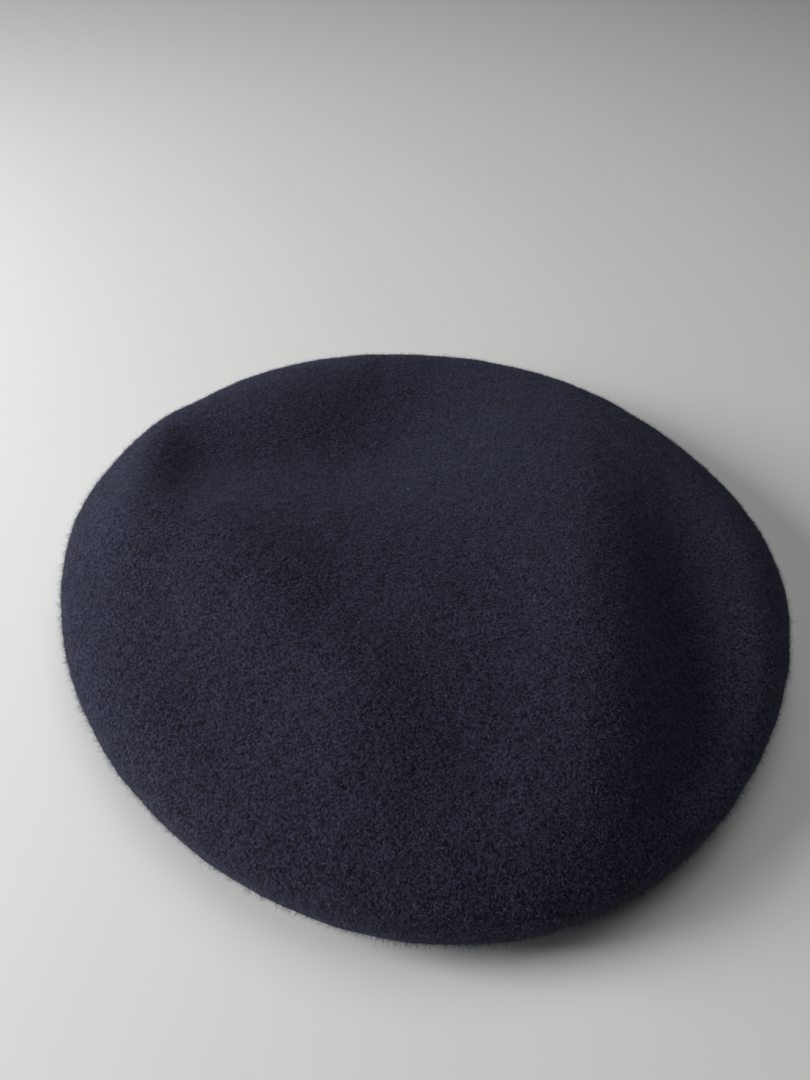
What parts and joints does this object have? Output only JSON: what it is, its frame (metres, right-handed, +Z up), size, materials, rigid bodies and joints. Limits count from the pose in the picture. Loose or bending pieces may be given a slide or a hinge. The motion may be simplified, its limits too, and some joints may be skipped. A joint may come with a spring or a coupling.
{
  "type": "beret",
  "caption": "Soft round wool felt beret lying on its opening, with a sagging crown, rolled rim, leather sweatband, satin lining and a small bow inside.",
  "frame": {"origin": "on the surface that the beret lies on, under the middle of its bounding box", "axes": "+Z up out of the crown, -Y towards the wearer's forehead, +Y towards the bow at the back"},
  "size_m": [0.2758, 0.2704, 0.0474],
  "materials": {
    "navy_felt": "matt fulled wool felt with a short nap",
    "navy_satin": "soft satin sheen",
    "black_leather": "fine grain, semi-matt",
    "navy_thread": "twisted thread",
    "black_ribbon": "ribbed ribbon",
    "cream_label": "woven, blank"
  },
  "bodies": {
    "root": {"felt_body": "navy_felt", "sweatband": "black_leather", "band_stitching": "navy_thread", "band_joint_thread": "navy_thread", "lining_crown": "navy_satin", "lining_side": "navy_satin", "lining_seam_thread": "navy_thread", "bow_ribbon": "black_ribbon", "bow_knot": "black_ribbon", "size_label": "cream_label"}
  },
  "joints": []
}
